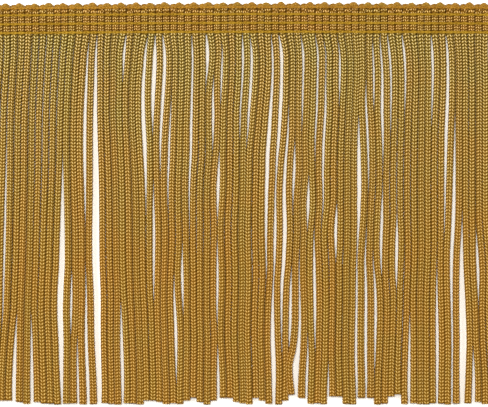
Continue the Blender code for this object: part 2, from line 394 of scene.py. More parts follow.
class Workbench:
    """Everyday modelling steps on one object at a time."""

    @staticmethod
    def only(piece: bpy.types.Object) -> None:
        """Selects one object, makes it active and leaves all others unselected.

        Args:
            piece: The object to work on.
        """
        Workbench.clear_selection()
        piece.select_set(True)
        bpy.context.view_layer.objects.active = piece

    @staticmethod
    def clear_selection() -> None:
        """Leaves nothing selected before a primitive is added."""
        for other in list(bpy.context.selected_objects):
            other.select_set(False)

    @staticmethod
    def settle(piece: bpy.types.Object, name: str) -> bpy.types.Object:
        """Moves a new object's place, turn and size into its mesh, and names it.

        Args:
            piece: The new object.
            name: Its name.

        Returns:
            The same object, at the origin, unturned and unscaled.
        """
        Workbench.only(piece)
        bpy.ops.object.transform_apply(location=True, rotation=True, scale=True)
        return Workbench.call(piece, name)

    @staticmethod
    def call(piece: bpy.types.Object, name: str) -> bpy.types.Object:
        """Names an object and its mesh.

        Args:
            piece: The object.
            name: The name for both.

        Returns:
            The same object.
        """
        piece.name = name
        piece.data.name = name
        return piece

    @staticmethod
    def pick_vertices(piece: bpy.types.Object, chosen: Callable[[Vector], bool]) -> None:
        """Selects vertices of the object in edit mode by their place.

        Args:
            piece: The object in edit mode.
            chosen: Says whether a vertex at a place is selected.
        """
        cage = bmesh.from_edit_mesh(piece.data)
        for vertex in cage.verts:
            vertex.select_set(False)
        for vertex in cage.verts:
            if chosen(vertex.co):
                vertex.select_set(True)
        cage.select_flush_mode()
        bmesh.update_edit_mesh(piece.data)

    @staticmethod
    def repeat(piece: bpy.types.Object, count: int, step: float) -> None:
        """Repeats a piece along +X and welds where its copies meet.

        Args:
            piece: The object to repeat.
            count: How many there are in the end.
            step: Distance from one to the next.
        """
        Workbench.only(piece)
        row = piece.modifiers.new("Repeat", "ARRAY")
        row.count = count
        row.use_relative_offset = False
        row.use_constant_offset = True
        row.constant_offset_displace = (step, 0.0, 0.0)
        row.use_merge_vertices = True
        row.merge_threshold = 0.002 * MM
        bpy.ops.object.modifier_apply(modifier=row.name)

    @staticmethod
    def cut_to(piece: bpy.types.Object, length: float) -> None:
        """Cuts a cord square at X = 0 and X = length, and closes both ends.

        Args:
            piece: The cord, straight along +X.
            length: Its new length.
        """
        Workbench.only(piece)
        bpy.ops.object.mode_set(mode="EDIT")
        for place, keep_beyond in ((0.0, True), (length, False)):
            bpy.ops.mesh.select_all(action="SELECT")
            bpy.ops.mesh.bisect(
                plane_co=(place, 0.0, 0.0),
                plane_no=(1.0, 0.0, 0.0),
                use_fill=True,
                clear_inner=keep_beyond,
                clear_outer=not keep_beyond,
            )
        bpy.ops.object.mode_set(mode="OBJECT")

    @staticmethod
    def guide(stations: Sequence[Station]) -> bpy.types.Object:
        """Makes the smooth line that a cord is laid along.

        Args:
            stations: The points of the line.

        Returns:
            The line, a curve object.
        """
        Workbench.clear_selection()
        bpy.ops.curve.primitive_bezier_curve_add()
        line = bpy.context.object
        line.data.dimensions = "3D"
        line.data.twist_mode = "Z_UP"
        line.data.use_radius = True
        line.data.resolution_u = 8
        spline = line.data.splines[0]
        spline.radius_interpolation = "CARDINAL"
        spline.tilt_interpolation = "CARDINAL"
        spline.bezier_points.add(len(stations) - len(spline.bezier_points))
        for point, station in zip(spline.bezier_points, stations):
            point.handle_left_type = "AUTO"
            point.handle_right_type = "AUTO"
            point.co = station.place
            point.radius = station.fullness
            point.tilt = station.turn
        return line

    @staticmethod
    def lay_along(piece: bpy.types.Object, line: bpy.types.Object) -> None:
        """Bends a piece on to a guide line, and removes the line.

        Args:
            piece: The object, straight along +X.
            line: The guide line.
        """
        Workbench.only(piece)
        bend = piece.modifiers.new("Lay", "CURVE")
        bend.object = line
        bend.deform_axis = "POS_X"
        bpy.ops.object.modifier_apply(modifier=bend.name)
        bpy.data.objects.remove(line, do_unlink=True)

    @staticmethod
    def copy(piece: bpy.types.Object, name: str) -> bpy.types.Object:
        """Copies an object together with its mesh.

        Args:
            piece: The object to copy.
            name: The copy's name.

        Returns:
            The copy.
        """
        Workbench.only(piece)
        bpy.ops.object.duplicate(linked=False)
        return Workbench.call(bpy.context.object, name)

    @staticmethod
    def join(pieces: Sequence[bpy.types.Object], name: str) -> bpy.types.Object:
        """Joins objects into the first of them and names it.

        Args:
            pieces: The objects to join.
            name: The joined object's name.

        Returns:
            The joined object.
        """
        Workbench.only(pieces[0])
        for other in pieces:
            other.select_set(True)
        bpy.ops.object.join()
        return Workbench.call(bpy.context.object, name)

    @staticmethod
    def mark(piece: bpy.types.Object, name: str, value: float) -> None:
        """Writes one number on every vertex, for the finish to read."""
        attribute = piece.data.attributes.new(name, "FLOAT", "POINT")
        attribute.data.foreach_set("value", [value] * len(piece.data.vertices))


class NodeBoard:
    """A material's nodes, added and wired in reading order."""

    def __init__(self, name: str) -> None:
        """Starts a material with its Principled shader.

        Args:
            name: The material's name.
        """
        self.material = bpy.data.materials.new(name)
        self.material.use_nodes = True
        self.tree = self.material.node_tree
        self.shader = self.tree.nodes["Principled BSDF"]

    def add(self, kind: str, **settings: object) -> bpy.types.Node:
        """Adds a node and sets its properties.

        Args:
            kind: The node's type name.
            settings: Its properties by name.

        Returns:
            The node.
        """
        node = self.tree.nodes.new(kind)
        for name, value in settings.items():
            setattr(node, name, value)
        return node

    def wire(self, source: bpy.types.NodeSocket, target: bpy.types.NodeSocket) -> None:
        """Joins an output to an input."""
        self.tree.links.new(source, target)

    def feed(self, target: bpy.types.NodeSocket, value: object) -> None:
        """Wires an input to a socket, or sets it to a plain value.

        Args:
            target: The input.
            value: A socket, a number or a colour.
        """
        if isinstance(value, bpy.types.NodeSocket):
            self.wire(value, target)
        else:
            target.default_value = value

    def dress(self, settings: dict[str, object]) -> bpy.types.Material:
        """Sets plain values on the shader's own inputs.

        Args:
            settings: The values by the inputs' names.

        Returns:
            The finished material.
        """
        for name, value in settings.items():
            self.shader.inputs[name].default_value = value
        return self.material

    def mix(self, factor: object, first: object, second: object, blend: str = "MIX") -> bpy.types.NodeSocket:
        """Mixes two colours.

        Args:
            factor: A socket or a number.
            first: A socket or a colour, shown where the factor is 0.
            second: A socket or a colour, shown where the factor is 1.
            blend: How the second lies over the first.

        Returns:
            The mixed colour's socket.
        """
        node = self.add("ShaderNodeMix", data_type="RGBA", blend_type=blend)
        for number, value in ((0, factor), (6, first), (7, second)):
            self.feed(node.inputs[number], value)
        return node.outputs[2]

    def maths(self, operation: str, first: object, second: object) -> bpy.types.NodeSocket:
        """Works out one number from two.

        Args:
            operation: What is done with them.
            first: A socket or a number.
            second: A socket or a number.

        Returns:
            The result's socket.
        """
        node = self.add("ShaderNodeMath", operation=operation)
        self.feed(node.inputs[0], first)
        self.feed(node.inputs[1], second)
        return node.outputs[0]

    def remap(self, source: bpy.types.NodeSocket, low: float, high: float) -> bpy.types.NodeSocket:
        """Stretches a number so that low becomes 0 and high becomes 1.

        Args:
            source: The number's socket.
            low: What becomes 0.
            high: What becomes 1.

        Returns:
            The stretched number's socket.
        """
        node = self.add("ShaderNodeMapRange")
        self.wire(source, node.inputs[0])
        node.inputs[1].default_value = low
        node.inputs[2].default_value = high
        return node.outputs[0]

    def noise(self, place: bpy.types.NodeSocket, scale: float, detail: float) -> bpy.types.NodeSocket:
        """Adds a cloudy pattern.

        Args:
            place: The socket of the place that it is read at.
            scale: How fine it is.
            detail: How many finer layers it has.

        Returns:
            The socket of its strength.
        """
        node = self.add("ShaderNodeTexNoise")
        self.wire(place, node.inputs["Vector"])
        node.inputs["Scale"].default_value = scale
        node.inputs["Detail"].default_value = detail
        return node.outputs["Fac"]

    def stretch(self, place: bpy.types.NodeSocket, scale: tuple[float, float, float]) -> bpy.types.NodeSocket:
        """Scales a place, each way by its own number.

        Args:
            place: The place's socket.
            scale: The numbers for X, Y and Z.

        Returns:
            The scaled place's socket.
        """
        node = self.add("ShaderNodeMapping")
        self.wire(place, node.inputs["Vector"])
        node.inputs["Scale"].default_value = scale
        return node.outputs["Vector"]

    def attribute(self, name: str) -> bpy.types.NodeSocket:
        """Reads a number that is marked on the mesh."""
        node = self.add("ShaderNodeAttribute", attribute_name=name)
        return node.outputs["Fac"]

    def bump(self, height: bpy.types.NodeSocket, strength: float, distance: float) -> None:
        """Raises the shader's surface by a height.

        Args:
            height: The height's socket.
            strength: How much of it shows.
            distance: How high 1 stands.
        """
        node = self.add("ShaderNodeBump")
        node.inputs["Strength"].default_value = strength
        node.inputs["Distance"].default_value = distance
        self.wire(height, node.inputs["Height"])
        self.wire(node.outputs["Normal"], self.shader.inputs["Normal"])


@dataclass(frozen=True)
class KnitFinish:
    """Lustrous knitted cord: gold with an olive cast near the heading and a warmer one at the tips."""

    name: str
    top_colour: Colour = (0.230, 0.158, 0.030, 1.0)
    tip_colour: Colour = (0.220, 0.111, 0.018, 1.0)
    # Painted shade: near-black colours for the grooves between the stitches, standing in for the shade that
    # falls there.
    top_painted_shade: Colour = (0.010, 0.0040, 0.0004, 1.0)
    tip_painted_shade: Colour = (0.086, 0.033, 0.0006, 1.0)
    # Painted highlight: cream colours for the legs' crests, standing in for the highlights that they catch.
    top_painted_highlight: Colour = (0.80, 0.685, 0.40, 1.0)
    tip_painted_highlight: Colour = (0.66, 0.48, 0.19, 1.0)
    gloss_tint: Colour = (1.0, 0.62, 0.08, 1.0)
    warm_tint: Colour = (1.09, 0.96, 0.92, 1.0)
    cool_tint: Colour = (0.95, 1.03, 1.00, 1.0)
    groove_roughness: float = 0.95
    crest_roughness: float = 0.33
    sheen: float = 0.02
    sheen_tint: Colour = (1.0, 0.70, 0.20, 1.0)
    sheen_roughness: float = 0.4
    gloss: float = 0.36
    lustre: float = 1.75
    filaments: float = 3.0
    tip_reach: float = 0.3
    cloud_scale: float = 55.0
    cloud_strength: float = 0.6
    streak_scale: float = 130.0
    streak_share: float = 0.4
    fibre_scale: float = 5200.0
    fibre_stretch: tuple[float, float, float] = (1.0, 0.35, 1.0)
    worn_colour: Colour = (1.0, 0.88, 0.55, 1.0)
    wear: float = 0.35
    leg_foot: float = 0.10
    leg_flank: float = 0.55
    filament_height: float = 0.5
    fibre_height: float = 0.6
    bump_strength: float = 0.35
    bump_distance: float = 0.06 * MM

    def material(self, layout: TrimLayout) -> bpy.types.Material:
        """Builds the cord's material.

        Args:
            layout: The trim's layout, for the change of colour from heading to tips.

        Returns:
            The material, which reads object coordinates, the UV map and the marks on the mesh.
        """
        board = NodeBoard(self.name)
        places = board.add("ShaderNodeTexCoord")
        split_place = board.add("ShaderNodeSeparateXYZ")
        board.wire(places.outputs["Object"], split_place.inputs[0])
        drop = board.remap(split_place.outputs["Y"], layout.bottom * self.tip_reach, layout.top)
        clouds = board.noise(places.outputs["Object"], self.cloud_scale, 3.0)
        clouds = board.maths("MULTIPLY", board.maths("SUBTRACT", clouds, 0.5), self.cloud_strength)
        drop = board.maths("ADD", drop, clouds)
        gold = board.mix(drop, self.tip_colour, self.top_colour)
        streaks = board.remap(board.noise(places.outputs["Object"], self.streak_scale, 1.0), 0.3, 0.7)
        streaks = board.maths("MULTIPLY", streaks, self.streak_share)
        cords = board.maths("MULTIPLY", board.attribute("cord_tint"), 1.0 - self.streak_share)
        tint = board.mix(board.maths("ADD", streaks, cords), self.warm_tint, self.cool_tint)
        drawn = board.stretch(places.outputs["Object"], self.fibre_stretch)
        fibre = board.noise(drawn, self.fibre_scale, 2.0)
        worn = board.maths("MULTIPLY", board.remap(fibre, 0.2, 0.9), self.wear)
        gold = board.mix(worn, gold, self.worn_colour, "SOFT_LIGHT")
        # The relief mark paints shade into the grooves and a highlight on the crests. It also sets the
        # roughness.
        relief_light = board.attribute("relief_light")
        shade_colour = board.mix(drop, self.tip_painted_shade, self.top_painted_shade)
        colour = board.mix(board.remap(relief_light, self.leg_foot, self.leg_flank), shade_colour, gold)
        highlight_colour = board.mix(drop, self.tip_painted_highlight, self.top_painted_highlight)
        colour = board.mix(board.remap(relief_light, self.leg_flank, 1.0), colour, highlight_colour)
        colour = board.mix(1.0, colour, tint, "MULTIPLY")
        board.wire(colour, board.shader.inputs["Base Color"])
        split_uv = board.add("ShaderNodeSeparateXYZ")
        board.wire(places.outputs["UV"], split_uv.inputs[0])
        lines = board.maths("MULTIPLY", split_uv.outputs["Y"], 4.0 * math.pi * self.filaments)
        lines = board.maths("MULTIPLY", board.maths("SINE", lines, 0.0), self.filament_height)
        height = board.maths("ADD", lines, board.maths("MULTIPLY", fibre, self.fibre_height))
        board.bump(height, self.bump_strength, self.bump_distance)
        shine = board.maths("MULTIPLY", relief_light, self.groove_roughness - self.crest_roughness)
        board.wire(board.maths("SUBTRACT", self.groove_roughness, shine), board.shader.inputs["Roughness"])
        return board.dress(
            {
                "Specular IOR Level": self.gloss,
                "Specular Tint": self.gloss_tint,
                "Sheen Weight": self.sheen,
                "Sheen Roughness": self.sheen_roughness,
                "Sheen Tint": self.sheen_tint,
                "IOR": self.lustre,
            }
        )


@dataclass(frozen=True)
class SatinFinish:
    """Smooth twistless thread, with fine filaments along the row."""

    name: str
    light_colour: Colour
    dark_colour: Colour
    roughness: float = 0.38
    filament_scale: float = 900.0
    filament_stretch: tuple[float, float, float] = (1.0, 9.0, 9.0)
    filament_share: float = 0.6
    cloud_scale: float = 260.0
    gloss_tint: Colour = (1.0, 0.60, 0.08, 1.0)
    gloss: float = 0.35
    lustre: float = 1.75
    bump_strength: float = 0.3
    bump_distance: float = 0.04 * MM

    def material(self) -> bpy.types.Material:
        """Builds the thread's material on object coordinates.

        Returns:
            The material.
        """
        board = NodeBoard(self.name)
        places = board.add("ShaderNodeTexCoord")
        drawn = board.stretch(places.outputs["Object"], self.filament_stretch)
        filaments = board.noise(drawn, self.filament_scale, 3.0)
        clouds = board.noise(places.outputs["Object"], self.cloud_scale, 2.0)
        shade = board.maths("MULTIPLY", filaments, self.filament_share)
        shade = board.maths("ADD", shade, board.maths("MULTIPLY", clouds, 1.0 - self.filament_share))
        colour = board.mix(board.remap(shade, 0.35, 0.65), self.dark_colour, self.light_colour)
        board.wire(colour, board.shader.inputs["Base Color"])
        board.bump(filaments, self.bump_strength, self.bump_distance)
        return board.dress(
            {
                "Roughness": self.roughness,
                "Specular IOR Level": self.gloss,
                "IOR": self.lustre,
                "Specular Tint": self.gloss_tint,
            }
        )


@dataclass(frozen=True)
class SurfaceFinish:
    """The plain pale surface that the trim lies on."""

    name: str = "pale_surface"
    light_colour: Colour = (0.95, 0.915, 0.84, 1.0)
    dark_colour: Colour = (0.94, 0.905, 0.83, 1.0)
    cloud_scale: float = 9.0
    roughness: float = 0.9

    def material(self) -> bpy.types.Material:
        """Builds the surface's material, faintly clouded like matt board.

        Returns:
            The material.
        """
        board = NodeBoard(self.name)
        places = board.add("ShaderNodeTexCoord")
        clouds = board.noise(places.outputs["Object"], self.cloud_scale, 4.0)
        board.wire(board.mix(clouds, self.dark_colour, self.light_colour), board.shader.inputs["Base Color"])
        return board.dress({"Roughness": self.roughness})


@dataclass(frozen=True)
class KnittedCord:
    """A knitted cord of a few wales, each a column of nested V stitches."""

    width: float = 2.60 * MM
    usual_width: float = 2.61 * MM
    height_share: float = 0.80
    stitch: float = 1.22 * MM
    stitch_spread: float = 0.04
    wales: int = 4
    slant: float = 0.62
    leg_rise: float = 0.10 * MM
    seam_share: float = 0.70
    pit_depth: float = 0.03 * MM
    corner_rise: float = 0.28 * MM
    shoulder_rise: float = 0.08 * MM
    # Marks that the finish turns into painted shade and painted highlight, from 0 in a pit to 1 on a leg's
    # crest.
    seam_mark: float = 0.30
    side_marks: tuple[float, float] = (0.60, 0.38)
    gap_mark: float = 0.10
    longest: float = 150.0 * MM

    @property
    def columns(self) -> int:
        """Vertices round the cord: wale edge, leg, wale middle and leg for each wale."""
        return 4 * self.wales

    @property
    def groove_radius(self) -> float:
        """Radius of the cord between the legs of its stitches."""
        return self.width / 2 - self.leg_rise

    def _column_radius(self, column: int) -> float:
        """Radius of a column of vertices halfway along a stitch.

        Args:
            column: The column's number round the cord.

        Returns:
            Its distance from the cord's axis.
        """
        if column % 2 == 1:
            return self.width / 2 + self.shoulder_rise
        seam_radius = self.groove_radius + self.leg_rise * self.seam_share
        return seam_radius + (self.corner_rise if column % 4 == 2 else 0.0)

    def rest_height(self, turn: float) -> float:
        """Height of the centre line of a turned cord that lies on the surface.

        Args:
            turn: How far the cord is turned round its own axis.

        Returns:
            The height, before the cord is pressed flat.
        """
        step = 2 * math.pi / self.columns
        reaches = [
            self._column_radius(column) * math.cos(step * column - turn) for column in range(self.columns)
        ]
        return max(reaches)

    def column_of(self, place: Vector) -> int:
        """Number of the column of vertices that a point lies in, counted round the cord."""
        turn = math.atan2(place.z, place.y) / (2 * math.pi)
        return round(turn * self.columns) % self.columns

    def shape_ring(self) -> bpy.types.Object:
        """Shapes one round of stitches from an open cylinder.

        Returns:
            The ring, one stitch long, with its legs slanted and raised.
        """
        Workbench.clear_selection()
        bpy.ops.mesh.primitive_cylinder_add(
            vertices=self.columns,
            radius=self.groove_radius,
            depth=self.stitch,
            end_fill_type="NOTHING",
            location=(self.stitch / 2, 0.0, 0.0),
            rotation=(0.0, math.pi / 2, 0.0),
        )
        ring = Workbench.settle(bpy.context.object, "knit_ring")
        bpy.ops.object.mode_set(mode="EDIT")
        self._divide_rows(ring)
        self._raise_legs(ring)
        bpy.ops.object.mode_set(mode="OBJECT")
        self._mark_painted_light(ring)
        bpy.ops.object.mode_set(mode="EDIT")
        self._slant_legs(ring)
        bpy.ops.object.mode_set(mode="OBJECT")
        return ring

    def _divide_rows(self, ring: bpy.types.Object) -> None:
        """Gives the ring a row of vertices halfway along, where the legs are thickest.

        Args:
            ring: The ring, in edit mode.
        """
        bpy.ops.mesh.select_all(action="DESELECT")
        bpy.ops.mesh.select_mode(type="EDGE")
        cage = bmesh.from_edit_mesh(ring.data)
        for edge in cage.edges:
            edge.select_set(abs(edge.verts[0].co.x - edge.verts[1].co.x) > self.stitch / 2)
        bmesh.update_edit_mesh(ring.data)
        bpy.ops.mesh.subdivide(number_cuts=1)
        bpy.ops.mesh.select_mode(type="VERT")

    def _is_middle_row(self, place: Vector) -> bool:
        """Whether a point lies in the row halfway along the ring."""
        return abs(place.x - self.stitch / 2) < self.stitch / 4

    def _swell(self, change: float) -> None:
        """Moves the selected vertices out from the cord's axis."""
        share = 1.0 + change / self.groove_radius
        bpy.ops.transform.resize(value=(1.0, share, share), center_override=(0.0, 0.0, 0.0))

    def _raise_legs(self, ring: bpy.types.Object) -> None:
        """Raises the legs, their seams and shoulders, and squares the cord at the wales' middles.

        Args:
            ring: The ring, in edit mode.
        """
        Workbench.pick_vertices(
            ring, lambda place: self._is_middle_row(place) and self.column_of(place) % 2 == 1
        )
        self._swell(self.leg_rise)
        Workbench.pick_vertices(
            ring, lambda place: self._is_middle_row(place) and self.column_of(place) % 2 == 0
        )
        self._swell(self.leg_rise * self.seam_share)
        Workbench.pick_vertices(
            ring, lambda place: not self._is_middle_row(place) and self.column_of(place) % 2 == 0
        )
        self._swell(-self.pit_depth)
        Workbench.pick_vertices(ring, lambda place: self.column_of(place) % 4 == 2)
        self._swell(self.corner_rise)
        Workbench.pick_vertices(ring, lambda place: self.column_of(place) % 2 == 1)
        self._swell(self.shoulder_rise)

    def _slant_legs(self, ring: bpy.types.Object) -> None:
        """Slides the columns along the cord, so that the legs of each wale make a V.

        Args:
            ring: The ring, in edit mode.
        """
        climb = self.slant * self.stitch
        columns = {}
        cage = bmesh.from_edit_mesh(ring.data)
        for vertex in cage.verts:
            columns[vertex.index] = self.column_of(vertex.co)
        for remainders, slide in (((0,), climb), ((1, 3), climb / 2)):
            for vertex in cage.verts:
                vertex.select_set(False)
            for vertex in cage.verts:
                if columns[vertex.index] % 4 in remainders:
                    vertex.select_set(True)
            bmesh.update_edit_mesh(ring.data)
            bpy.ops.transform.translate(value=(slide, 0.0, 0.0))
            cage = bmesh.from_edit_mesh(ring.data)

    def _mark_painted_light(self, ring: bpy.types.Object) -> None:
        """Writes on each vertex how high it seems to stand, from 0 in a pit to 1 on a leg. The finish paints
        shade where the mark is low and a highlight where it is high.

        The two columns at the cord's sides get marks of their own, which paint them lighter than seams,
        because they lie in shade.

        Args:
            ring: The ring, in object mode.
        """
        heights = []
        for vertex in ring.data.vertices:
            column = self.column_of(vertex.co)
            on_leg = column % 2 == 1
            if column % (2 * self.wales) == 0:
                heights.append(self.side_marks[0 if self._is_middle_row(vertex.co) else 1])
            elif self._is_middle_row(vertex.co):
                heights.append(1.0 if on_leg else self.seam_mark)
            else:
                heights.append(self.gap_mark if on_leg else 0.0)
        attribute = ring.data.attributes.new("relief_light", "FLOAT", "POINT")
        attribute.data.foreach_set("value", heights)

    def knit_length(self, name: str) -> bpy.types.Object:
        """Repeats a ring of stitches into a cord longer than any that is cut from it.

        Args:
            name: The long cord's name.

        Returns:
            The long cord, straight along +X.
        """
        ring = self.shape_ring()
        rounds = math.ceil(self.longest / (self.stitch * (1.0 - self.stitch_spread))) + 3
        Workbench.repeat(ring, rounds, self.stitch)
        ring.data.transform(Matrix.Translation((-self.stitch, 0.0, 0.0)))
        ring.data.shade_smooth()
        return Workbench.settle(ring, name)

    def lay(
        self,
        stock: bpy.types.Object,
        name: str,
        stations: Sequence[Station],
        dice: random.Random,
    ) -> bpy.types.Object:
        """Cuts a cord to the length of its line and lays it there.

        Args:
            stock: The long straight cord to cut from.
            name: The new cord's name.
            stations: The points of its line.
            dice: The seeded source of the cord's own tint, stitch length and first cut.

        Returns:
            The laid cord, closed at both ends.
        """
        line = Workbench.guide(stations)
        length = line.data.splines[0].calc_length()
        cord = Workbench.copy(stock, name)
        drawn_out = 1.0 + dice.uniform(-self.stitch_spread, self.stitch_spread)
        cord.data.transform(Matrix.Translation((-dice.random() * self.stitch, 0.0, 0.0)))
        cord.data.transform(Matrix.Diagonal((drawn_out, 1.0, 1.0, 1.0)))
        Workbench.cut_to(cord, length)
        Workbench.lay_along(cord, line)
        Workbench.mark(cord, "cord_tint", dice.random())
        return cord

    def press_flat(self, piece: bpy.types.Object) -> None:
        """Flattens laid cords towards the surface.

        Args:
            piece: The cords.
        """
        Workbench.only(piece)
        bpy.ops.object.mode_set(mode="EDIT")
        bpy.ops.mesh.select_all(action="SELECT")
        bpy.ops.transform.resize(value=(1.0, 1.0, self.height_share), center_override=(0.0, 0.0, 0.0))
        bpy.ops.object.mode_set(mode="OBJECT")


@dataclass(frozen=True)
class FringeStrands:
    """The free strands, which hang from the lower chain row and end in square cuts."""

    layout: TrimLayout
    knit: KnittedCord
    finish: KnitFinish
    seed: int = 11
    step: float = 6.0 * MM
    turn_range: float = 0.28
    drift_range: float = 0.30
    bound_fullness: float = 1.0
    root_sink: float = 0.95
    swelling_reach: float = 1.7 * MM
    tip_flare: float = 0.08
    flare_reach: float = 9.0 * MM
    curled_cord: int = 41
    curl_reach: float = 10.0 * MM
    curl_width: float = 7.0 * MM
    curl_shift: float = 1.3 * MM
    curl_lift: float = 0.8 * MM

    def build(self, stock: bpy.types.Object) -> list[bpy.types.Object]:
        """Lays every strand and joins each group of neighbours into a piece.

        Args:
            stock: The long straight cord that the strands are cut from.

        Returns:
            The pieces, from left to right.
        """
        dice = random.Random(self.seed)
        material = self.finish.material(self.layout)
        centre_lines = self._centre_lines()
        strands = []
        for index, centre_line in enumerate(centre_lines):
            stations = self._stations(index, centre_line, dice)
            strands.append(self.knit.lay(stock, f"strand_{index}", stations, dice))
        pieces = []
        share = math.ceil(len(strands) / len(StrandGroup))
        for group in StrandGroup:
            members = strands[group.value * share : (group.value + 1) * share]
            piece = Workbench.join(members, f"strands_{group.name.lower()}")
            self.knit.press_flat(piece)
            piece.data.materials.clear()
            piece.data.materials.append(material)
            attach(piece, BODY)
            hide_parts("fringe_strands")
            LOG.info("%s: %d faces", piece.name, len(piece.data.polygons))
            pieces.append(piece)
        return pieces

    def _depths(self) -> list[float]:
        """Depths at which the strands' lines are worked out.

        Returns:
            The depths below the lower chain row, from where the strands are full to the tips.
        """
        full = self.layout.top - self.layout.bottom - HeadingRow.LOWER.value
        count = round(full / self.step)
        start = self.swelling_reach
        return [start + (full - start) * place / count for place in range(count + 1)]

    def _centre_lines(self) -> list[list[tuple[float, float, float]]]:
        """Works out where every strand runs.

        Returns:
            For each strand, the depth, X and fullness of every point.
        """
        lines: list[list[tuple[float, float, float]]] = [[] for _ in range(self.layout.cord_count)]
        for depth in self._depths():
            below_roots = max(0.0, depth - self.layout.root_reach)
            centres = self.layout.strand_centres(below_roots)
            for line, x, fullness in zip(lines, centres, self._fullness(centres, below_roots)):
                line.append((depth, x, fullness))
        return lines

    def _fullness(self, centres: Sequence[float], depth: float) -> list[float]:
        """How full every strand is, squeezed where its neighbours lie close.

        Args:
            centres: X of every strand.
            depth: Distance below the heading's lower edge.

        Returns:
            The strands' fullness, from left to right.
        """
        parted = min(1.0, depth / self.layout.part_depth)
        widest = self.layout.pitch + (self.layout.touching_spacing - self.layout.pitch) * parted
        rooms = [min(widest, after - before) for before, after in zip(centres, centres[1:])]
        rooms = [rooms[0], *rooms, rooms[-1]]
        return [(before + after) / 2 / self.knit.usual_width for before, after in zip(rooms, rooms[1:])]

    def _stations(
        self, index: int, centre_line: Sequence[tuple[float, float, float]], dice: random.Random
    ) -> list[Station]:
        """Points of one strand's line, from under the lower chain row to its tip.

        Args:
            index: The strand's number from the left.
            centre_line: Depth, X and fullness along the strand.
            dice: The seeded source of unevenness.

        Returns:
            The stations, from the heading to the tip or, on every other strand, back.
        """
        layout = self.layout
        root_x = layout.heading_x(index + 0.5)
        root_y = layout.heading_y(root_x, HeadingRow.LOWER.value)
        tip_y = layout.tip_y(index)
        turn = dice.uniform(-self.turn_range, self.turn_range)
        drift = dice.uniform(-self.drift_range, self.drift_range)
        height = self.knit.rest_height(turn)
        stations = [Station((root_x, root_y, height * self.root_sink), self.bound_fullness, turn)]
        full = centre_line[-1][0]
        for depth, x, fullness in centre_line:
            share = depth / full
            y = root_y + (tip_y - root_y) * share
            fullness *= 1.0 + self.tip_flare * math.exp(-(y - tip_y) / self.flare_reach)
            shift, lift = self._curl(y - tip_y) if index == self.curled_cord else (0.0, 0.0)
            turned = turn + drift * share
            place = (x + shift, y, self.knit.rest_height(turned) * fullness + lift)
            stations.append(Station(place, fullness, turned))
        runs_down = index % 2 == 1
        return stations if runs_down else stations[::-1]

    def _curl(self, above_tip: float) -> tuple[float, float]:
        """How the curled strand leaves its straight line.

        Args:
            above_tip: Distance up from its tip.

        Returns:
            Its shift to the right and its lift.
        """
        closeness = math.exp(-(((above_tip - self.curl_reach) / self.curl_width) ** 2))
        return -self.curl_shift * closeness, self.curl_lift * closeness


